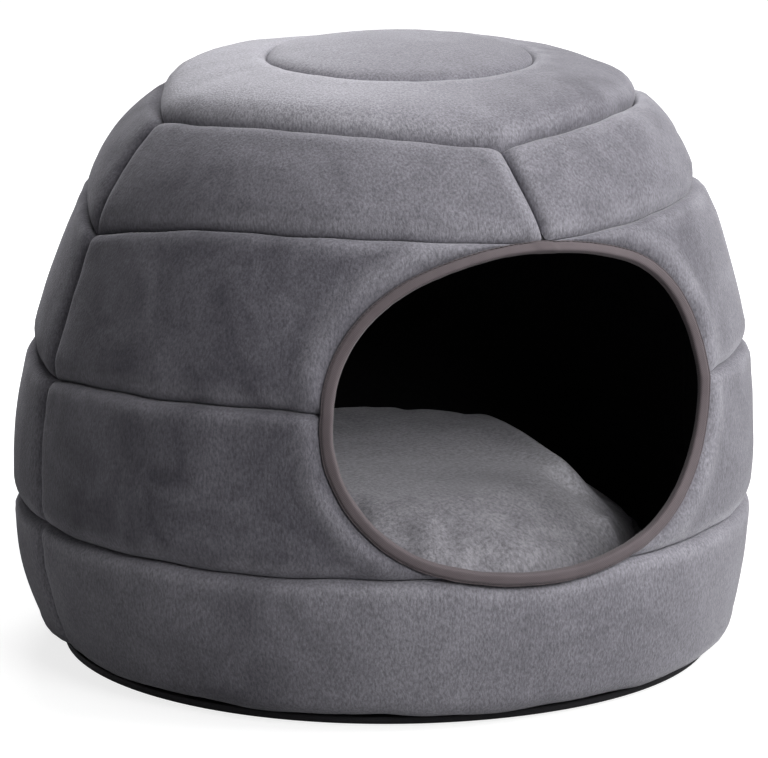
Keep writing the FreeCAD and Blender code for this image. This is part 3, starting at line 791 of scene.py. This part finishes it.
# Twisted polyester thread: a slight shine, and darker between its plies of 0.6 mm.
thread = mottled("taupe_polyester_thread", "#383335", "#544c4f", size_mm=0.6, roughness=0.5)
dress(stitching, thread, "binding")

# Lining of the cave: four gores of thin dark cloth against the backs of the pads, quilted with them, and
# a round piece under the crown. It ends under the binding.
LINING = 0.0012
LINING_DEPTH = 0.0160
LINING_PULL = 0.0030
LINING_PULL_REACH = 0.12
LINING_RIM_GAP = 0.0006
LINING_GAP = 0.00001
LINING_RADIUS = 0.15
FLOOR_TOP = 0.0224
LINED_BANDS = ("skirt", "lower", "upper", "shoulder")
# Levels count the bands up from the foot; the lining stops a little short of the seams between them.
LEVEL_GAP = 0.002
RIM_TOP_LEVEL = 2.99
# Where the entrance dips into the skirt, the lining dips by a share of that and ends behind the tape.
LINING_DIP = 0.6
# Columns of the lining's mesh, and rows below, beside and above the entrance, in the skirt and in a band.
LINING_COLUMNS = 60
BELOW_ROWS, BESIDE_ROWS, ABOVE_ROWS = 14, 160, 16
SKIRT_ROWS, BAND_ROWS = 12, 20
# Plain-woven polyester lining, nearly black: a faint slub of 3 mm and little shine.
charcoal = mottled("charcoal_woven_lining", "#141315", "#232225", size_mm=3, roughness=0.85, specular=0.2,
                   relief=0.3)


def lining_points(phi, level, depth):
    """Points of the lining at heights up the wall, drawn in at the quilting lines and at the entrance."""
    points = np.zeros(phi.shape + (3,))
    at_rim = RIM_DEPTH + depth - LINING_DEPTH + LINING_RIM_GAP
    for number, band in enumerate(LINED_BANDS):
        here = np.clip(np.floor(level), 0, len(LINED_BANDS) - 1) == number
        v = level - number
        sunk = depth + 0 * v
        if band != "skirt":
            sunk -= LINING_PULL * hump(np.minimum(np.abs(v), np.abs(1 - v)), 0, LINING_PULL_REACH)
        radius, height, _, _ = wall(band, phi, v)
        near = from_rim(place(radius, height, phi))
        sunk = sunk - np.maximum(sunk - at_rim, 0) * (1 - smooth(near / RIM_REACH))
        points = np.where(here[..., None], inside(band, phi, v, sunk), points)
    return points


skirt_length = float(wall("skirt", np.array(0.0), np.array(0.5))[3])
floor_level = (foot_roll + FLOOR_TOP - foot_height) / skirt_length
gap = LINING_GAP / LINING_RADIUS
for gore in GORES:
    start, end = GORE_SPANS[gore]
    if gore.startswith("front"):
        x, z = oval(np.linspace(bottoms[gore], top_side, BESIDE_ROWS))
        meets, bands, _ = on_front(x, z)
        rim_level = 1 + np.minimum(bands, 2) * np.where(bands < 0, LINING_DIP, 1)
        below = np.linspace(floor_level, rim_level[0] - 2 * LEVEL_GAP, BELOW_ROWS)
        above = np.linspace(max(rim_level[-1], RIM_TOP_LEVEL) + 2 * LEVEL_GAP,
                            len(LINED_BANDS) - LEVEL_GAP, ABOVE_ROWS)
        levels = np.concatenate([below, np.maximum.accumulate(rim_level), above])
        seam = SEAMS[:1]
        edge = np.concatenate([np.repeat(seam, len(below)), meets, np.repeat(seam, len(above))])
        if gore == "front_right":
            left, right = np.maximum(edge, start) + gap, np.full_like(edge, end - gap)
        else:
            left, right = np.full_like(edge, start + gap), np.minimum(edge, end) - gap
    else:
        levels = np.concatenate([np.linspace(floor_level, 1 - LEVEL_GAP, SKIRT_ROWS)] + [
            np.linspace(k + LEVEL_GAP, k + 1 - LEVEL_GAP, BAND_ROWS) for k in range(1, len(LINED_BANDS))])
        left, right = np.full_like(levels, start + gap), np.full_like(levels, end - gap)
    u = np.linspace(0, 1, LINING_COLUMNS)
    phi = left[:, None] + (right - left)[:, None] * u[None, :]
    level = levels[:, None] + 0 * phi
    lining = sewn_shell(f"lining_{gore}_cloth", lining_points(phi, level, LINING_DEPTH),
                        lining_points(phi, level, LINING_DEPTH + LINING))
    dress(lining, charcoal, "lining", f"lining_{gore}")

LINING_CROWN = 0.006
CROWN_ROWS = 16
CROWN_RINGS = 18
v = np.linspace(2 * LEVEL_GAP, 1, CROWN_ROWS)[:, None] + 0 * around[None, :]
phi = around[None, :] + 0 * v
ring_out = inside("ring", phi, v, LINING_DEPTH)
ring_in = inside("ring", phi, v, LINING_DEPTH + LINING)
shrink = np.linspace(1, 0, CROWN_RINGS)[1:, None, None]
middle = ring_out[-1].mean(axis=0)
upward = np.array([0, 0, 1])
disc_out = middle + (ring_out[-1] - middle)[None] * shrink + LINING_CROWN * upward * (1 - shrink ** 2)
crown_out = np.concatenate([ring_out, disc_out])
crown_in = crown_out.copy()
crown_in[:len(v)] = ring_in
crown_in[len(v):] -= LINING * upward
crown_lining = sewn_shell("lining_crown_cloth", crown_out, crown_in, wraps=True)
dress(crown_lining, charcoal, "lining", "lining_crown")

# Floor of the cave: a round slab of foam that lies on the base cloth, and over it the floor lining, a thin
# dark cloth that is sewn in round its edge.
BASE_MIDDLE = FOOT_SWAY * np.array([*SWAY_WAY, 0])
FLOOR_WOBBLE = ((0.0003, 0.07),)
THINNEST = 0.0004
SLAB_RINGS = 40
SLAB_POWER = 0.6


def round_slab(name, radius, bottom_height, top_height, edge_round, both_edges):
    """Round slab with a softened edge above, or above and below, and a slightly uneven top."""
    share = np.linspace(0, 1, SLAB_RINGS) ** SLAB_POWER
    r = (radius * share[::-1])[:, None] + 0 * around[None, :]
    fall = edge_round * rolled(radius - r, edge_round)
    upper = round_about(r, around, 0 * r)
    wobble = uneven(upper, FLOOR_WOBBLE) * smooth(r / CALM_MIDDLE)
    upper = upper + BASE_MIDDLE
    lower = upper.copy()
    upper[..., 2] = top_height - fall + wobble
    lower[..., 2] = np.minimum(bottom_height + fall * both_edges, upper[..., 2] - THINNEST)
    return sewn_shell(name, upper, lower, wraps=True)


slab = round_slab("floor_slab", radius=0.1925, bottom_height=0.0024, top_height=0.0215, edge_round=0.006,
                  both_edges=True)
# Polyurethane foam, off-white: open cells of about 1 mm.
foam = mottled("offwhite_polyurethane_foam", "#c9c4b6", "#e6e2d6", size_mm=1, roughness=0.9,
               texture="TexVoronoi", spots="Distance")
dress(slab, foam, "foam", "floor_foam")

floor_cloth = round_slab("lining_floor_cloth", radius=0.1972, bottom_height=0.0226, top_height=0.0240,
                         edge_round=0.0008, both_edges=False)
dress(floor_cloth, charcoal, "lining", "lining_floor")

# Base: black non-slip cloth, turned up round its edge and sewn to the foot of the skirt. Grip dots of
# silicone rubber are printed on its underside.
BASE_RINGS = (0.0, 0.06, 0.12, 0.17, 0.195)
BEND_STEPS = 7
BASE_RADIUS = 0.2096
BASE_ROUND = 0.003
BASE_CLOTH = 0.0012
EDGE_TOP = 0.0062
EDGE_IN = 0.0004
EDGE_BEND = 0.0048
# The turned-up edge isn't quite round: share of its radius, waves, where they start, from which radius on.
EDGE_WAVE = 0.0015
EDGE_WAVES = 5
EDGE_WAVE_AT = 0.7
EDGE_WAVE_FROM = 0.15
DOT = 0.0022
DOT_RISE = 0.0009
DOT_FLAT = 0.98
DOT_PITCH = 0.0085
DOT_ROWS = 24
DOT_ROW_SHARE = 0.866
DOT_MARGIN = 0.006
profile = [(radius, DOT_RISE) for radius in BASE_RINGS]
for bend in np.linspace(0, math.pi / 2, BEND_STEPS):
    profile.append((BASE_RADIUS - BASE_ROUND * (1 - math.sin(bend)),
                    DOT_RISE + BASE_ROUND * (1 - math.cos(bend))))
profile += [(BASE_RADIUS, EDGE_BEND), (BASE_RADIUS - EDGE_IN, EDGE_TOP)]
outline = np.array(profile)
gone = unit(np.gradient(outline, axis=0))
within = outline + BASE_CLOTH * np.stack([-gone[:, 1], gone[:, 0]], axis=1)
within[0, 0] = 0.0


def turned_round(section):
    """Points of a section turned about the base's middle."""
    radius, height = section[:, :1], section[:, 1:]
    wave = EDGE_WAVE * np.sin(EDGE_WAVES * around + EDGE_WAVE_AT) * (radius > EDGE_WAVE_FROM)
    return round_about(radius * (1 + wave), around, height) + BASE_MIDDLE


base = sewn_shell("base_nonslip_cloth", turned_round(within), turned_round(outline), wraps=True)
# Black polyester cloth: matt, with a fine grain of about 1 mm.
black_cloth = mottled("black_woven_base_cloth", "#18171a", "#2e2d31", size_mm=1, roughness=0.8,
                      specular=0.3, relief=0.4)
dress(base, black_cloth, "base_cloth", "base_cloth")

# Rows are set close, each half a pitch past the last.
steps = np.arange(-DOT_ROWS, DOT_ROWS + 1) * DOT_PITCH
spots = np.array([(x + row % 2 * DOT_PITCH / 2, y * DOT_ROW_SHARE, DOT_RISE)
                  for row, y in enumerate(steps) for x in steps])
spots = spots[np.hypot(spots[:, 0], spots[:, 1]) < BASE_RADIUS - DOT_MARGIN]
upright = np.repeat(np.eye(3)[None], len(spots), axis=0)
dots = repeated("base_grip_dots", *bead(DOT, DOT, 2 * DOT_RISE * DOT_FLAT, levels=6),
                spots + BASE_MIDDLE, upright)
# Silicone rubber, pale grey and slightly glossy.
silicone = mottled("grey_silicone_dots", "#85848a", "#adacb2", size_mm=5, roughness=0.45)
dress(dots, silicone, "base_cloth")

# Loose cushion: two round plush covers sewn together at the edge over fibre fill. It starts as a slack
# round bag, swells under the pressure of its fill, and is then pressed flat where it lies.
SEAT = 0.0247
SEAT_GAP = 0.004
SEAT_LIFT = 0.0003
CUSHION_RADIUS = 0.176
CUSHION_REACH = 0.189
CUSHION_TOP = 0.108
CUSHION_SEAM = 0.0645
# The slack bag: its mesh, and how square its outline, its top and its underside are.
BAG_LEVELS = 60
BAG_ROUND = 160
BAG_POWER = 0.5
TOP_POWER = 0.6
UNDER_POWER = 0.8
EVEN_MESH = 0.005
SWELL_STEPS = 20
SWELL_CAP = 0.012
# Shape of its top: lumps, a rise towards the back, and a soft fold on the right behind which it falls away.
TOP_RISE = 0.02
TOP_LUMPS = ((0.0018, 0.075), (0.0006, 0.03))
BACK_WAY = (0.42, 0.907)
BACK_FROM = (-0.03, 0.14)
BACK_RISE = 0.009
FOLD_LINE = ((-0.18, -0.13, -0.05, 0.02, 0.06, 0.11, 0.15),
             (0.124, 0.103, 0.092, 0.094, 0.096, 0.100, 0.096))
FOLD_FALL = 0.021
FOLD_WIDE = 0.05
RIDGE = 0.0050
RIDGE_WIDE = 0.011
RIDGE_END = 0.04
RIDGE_FADE = 0.06
# The sewn edge draws in all round, and puckers.
EDGE_PULL = 0.0045
EDGE_HIGH = 0.0035
EDGE_FROM = (0.15, 0.02)
EDGE_LEAST = 0.05
EDGE_PUCKERS = ((0.0010, 0.012),)
# Painted light: how much of the pale colour the cushion gets from the front to the back, and a painted
# highlight along the fold.
CUSHION_PAINTED_LIGHT = ((-0.16, -0.11, -0.04, 0.03, 0.09), (0.0, 0.15, 0.60, 0.50, 0.0))
RIDGE_PAINTED_HIGHLIGHT = 0.35
RIDGE_PALE_IN = 0.01
RIDGE_PALE_WIDE = 0.022
RIDGE_PALE_END = 0.02
RIDGE_PALE_FADE = 0.05
levels = np.linspace(0, math.pi, BAG_LEVELS)
steep = np.abs(np.cos(levels))
ring_r = CUSHION_RADIUS * np.abs(np.sin(levels)) ** BAG_POWER
ring_z = np.where(levels < math.pi / 2,
                  CUSHION_SEAM + (CUSHION_TOP - CUSHION_SEAM) * steep ** TOP_POWER,
                  CUSHION_SEAM - (CUSHION_SEAM - SEAT - SEAT_GAP) * steep ** UNDER_POWER)
spin = np.linspace(0, 2 * math.pi, BAG_ROUND, endpoint=False)
bag = round_about(ring_r[:, None], spin, ring_z[:, None])
cushion = new_piece("cushion_plush", bag, grid_faces(bag, wraps=True)[1].tolist())


def apply_modifiers(piece):
    """Keep the shape that a piece's modifiers give it."""
    shaped = bpy.data.meshes.new_from_object(piece.evaluated_get(bpy.context.evaluated_depsgraph_get()))
    piece.modifiers.clear()
    piece.data = shaped


even = cushion.modifiers.new("even", "REMESH")
even.mode = "VOXEL"
even.voxel_size = EVEN_MESH
apply_modifiers(cushion)
before = np.array([v.co for v in cushion.data.vertices])
fill = cushion.modifiers.new("fill", "CLOTH")
fill.settings.quality = 5
fill.settings.mass = 0.2
fill.settings.use_pressure = True
fill.settings.uniform_pressure_force = 4.0
fill.settings.tension_stiffness = 12
fill.settings.bending_stiffness = 0.4
fill.settings.effector_weights.gravity = 0.0
for step in range(1, SWELL_STEPS + 1):
    bpy.context.scene.frame_set(step)
apply_modifiers(cushion)
bpy.context.scene.frame_set(1)
moved = np.array([v.co for v in cushion.data.vertices]) - before
far = np.linalg.norm(moved, axis=1)
after = before + moved * np.minimum(1, SWELL_CAP / np.maximum(far, 1e-9))[:, None]
cushion.data.vertices.foreach_set("co", after.astype(np.float32).ravel())
finer = cushion.modifiers.new("finer", "SUBSURF")
finer.levels = finer.render_levels = 1
apply_modifiers(cushion)
points = np.array([v.co for v in cushion.data.vertices])
top = smooth((points[:, 2] - CUSHION_SEAM) / TOP_RISE)
points[:, 2] += top * uneven(points, TOP_LUMPS)
deep = points[:, :2] @ np.array(BACK_WAY)
beyond = points[:, 0] - np.interp(points[:, 1], *FOLD_LINE)
ridge = hump(beyond, 0, RIDGE_WIDE) * smooth((RIDGE_END - points[:, 1]) / RIDGE_FADE)
fall = FOLD_FALL * smooth(beyond / FOLD_WIDE)
points[:, 2] += top * (BACK_RISE * grown(deep, BACK_FROM) - fall + RIDGE * ridge)
reach = np.hypot(points[:, 0], points[:, 1])
edge = hump(points[:, 2], CUSHION_SEAM, EDGE_HIGH) * grown(reach, EDGE_FROM)
pull = (EDGE_PULL + uneven(points, EDGE_PUCKERS)) * edge
points[:, :2] *= (1 - pull / np.maximum(reach, EDGE_LEAST))[:, None]
# It lies flat on the floor and inside the wall.
points[:, 2] = np.maximum(points[:, 2], SEAT + SEAT_LIFT)
reach = np.hypot(points[:, 0], points[:, 1])
points[:, :2] *= np.minimum(1, CUSHION_REACH / np.maximum(reach, 1e-6))[:, None]
cushion.data.vertices.foreach_set("co", points.astype(np.float32).ravel())
# Painted light on the cushion's middle, where the front lamp reaches in, and a painted highlight along the
# fold.
deep = points[:, :2] @ np.array(BACK_WAY)
fold_painted_highlight = hump(beyond, -RIDGE_PALE_IN, RIDGE_PALE_WIDE)
fold_painted_highlight *= smooth((RIDGE_PALE_END - deep) / RIDGE_PALE_FADE)
cushion_painted_light = np.interp(deep, *CUSHION_PAINTED_LIGHT) + RIDGE_PAINTED_HIGHLIGHT * fold_painted_highlight
set_nap(cushion.data, cushion_painted_light)
finish_mesh(cushion.data)
# Lighter, longer plush of the cushion, 3 mm of pile that lies every way; its palest grey is painted light.
cushion_pile = pile_fabric("light_grey_long_plush", "#817f85", "#98969c", "#c8c6cd",
                           pile_mm=2.2, cloud_mm=26, depth_mm=1.6, sheen=0.5)
dress(cushion, cushion_pile, "cushion_plush", "cushion_top_cover", "cushion_bottom_cover", "cushion_fill",
      body="cushion")

# Studio: a white paper floor that keeps a soft shadow, four large soft lamps round the house, and the
# camera with its long lens.
FLOOR_HALF = 30
mesh = bpy.data.meshes.new("studio_floor")
corners = [(x * FLOOR_HALF, y * FLOOR_HALF, 0) for x, y in ((-1, -1), (1, -1), (1, 1), (-1, 1))]
mesh.from_pydata(corners, [], [(0, 1, 2, 3)])
floor = bpy.data.objects.new("studio_floor", mesh)
bpy.context.scene.collection.objects.link(floor)
paper = new_material("white_studio_paper")
ray = add_node(paper, "LightPath")
matt = add_node(paper, "BsdfDiffuse", {"Color": colour("#a8a8a8")})
where = add_node(paper, "TexCoord")
away = add_node(paper, "VectorMath", {0: where.outputs["Object"]}, operation="LENGTH")
# Seen by the camera the paper is white, with a painted shadow that makes it a little darker close to the
# house.
white_less_painted_shadow = add_node(paper, "MapRange", {
    "Value": away.outputs["Value"], "From Min": 0.21, "From Max": 0.7, "To Min": 0.80, "To Max": 1.0},
    clamp=True)
seen = add_node(paper, "Math", {
    0: ray.outputs["Is Camera Ray"], 1: white_less_painted_shadow.outputs["Result"]}, operation="MULTIPLY")
lit = add_node(paper, "Emission", {"Color": (1, 1, 1, 1), "Strength": seen.outputs["Value"]})
both = add_node(paper, "AddShader", {0: matt.outputs["BSDF"], 1: lit.outputs["Emission"]})
add_node(paper, "OutputMaterial", {"Surface": both.outputs["Shader"]})
floor.data.materials.append(paper)

world = bpy.data.worlds.new("studio")
bpy.context.scene.world = world
world.use_nodes = True
world.node_tree.nodes.clear()
ray = add_node(world, "LightPath")
seen = add_node(world, "Math", {
    0: ray.outputs["Is Camera Ray"], 1: ray.outputs["Is Glossy Ray"]}, operation="MAXIMUM")
seen = add_node(world, "Math", {
    0: seen.outputs["Value"], 1: ray.outputs["Is Transmission Ray"]}, operation="MAXIMUM")
level = add_node(world, "MapRange", {
    "Value": seen.outputs["Value"], "To Min": 0.03, "To Max": 1.0})
air = add_node(world, "Background", {"Color": (1, 1, 1, 1), "Strength": level.outputs["Result"]})
add_node(world, "OutputWorld", {"Surface": air.outputs["Background"]})


def look_at(name, lamp_or_lens, aim, azimuth, elevation, distance):
    """Stand a lamp or the camera off a point, turned to it; azimuth 0 is in front, 90 to the right."""
    turn, tilt = math.radians(azimuth), math.radians(elevation)
    way = Vector((math.sin(turn) * math.cos(tilt), -math.cos(turn) * math.cos(tilt), math.sin(tilt)))
    holder = bpy.data.objects.new(name, lamp_or_lens)
    holder.location = Vector(aim) + way * distance
    holder.rotation_mode = "QUATERNION"
    holder.rotation_quaternion = (-way).to_track_quat("-Z", "Y")
    bpy.context.scene.collection.objects.link(holder)
    return holder


LAMP_AIM = (0, 0, 0.15)
LAMP_DISTANCE = 2.4
LAMPS = (
    # name, azimuth, elevation, side of the square in metres, power in watts
    ("front_soft_box", 6, 30, 1.0, 27),
    ("right_soft_box", 55, 34, 1.2, 38),
    ("back_soft_box", 158, 44, 1.2, 35),
    ("top_soft_box", 0, 84, 1.2, 11),
)
for name, azimuth, elevation, side, power in LAMPS:
    lamp = bpy.data.lights.new(name, "AREA")
    lamp.shape = "SQUARE"
    lamp.size = side
    lamp.energy = power
    look_at(name, lamp, LAMP_AIM, azimuth, elevation, LAMP_DISTANCE)

CAMERA_AIM = (0, 0, 0.1698)
CAMERA_AZIMUTH = -24.85
CAMERA_ELEVATION = 12.58
CAMERA_DISTANCE = 3.0
FOCAL_PIXELS = 4659.5
IMAGE_WIDTH = 768
lens = bpy.data.cameras.new("camera")
lens.sensor_width = 36
lens.lens = FOCAL_PIXELS / IMAGE_WIDTH * lens.sensor_width
camera = look_at("camera", lens, CAMERA_AIM, CAMERA_AZIMUTH, CAMERA_ELEVATION, CAMERA_DISTANCE)
bpy.context.scene.camera = camera
bpy.context.scene.view_settings.view_transform = "Standard"
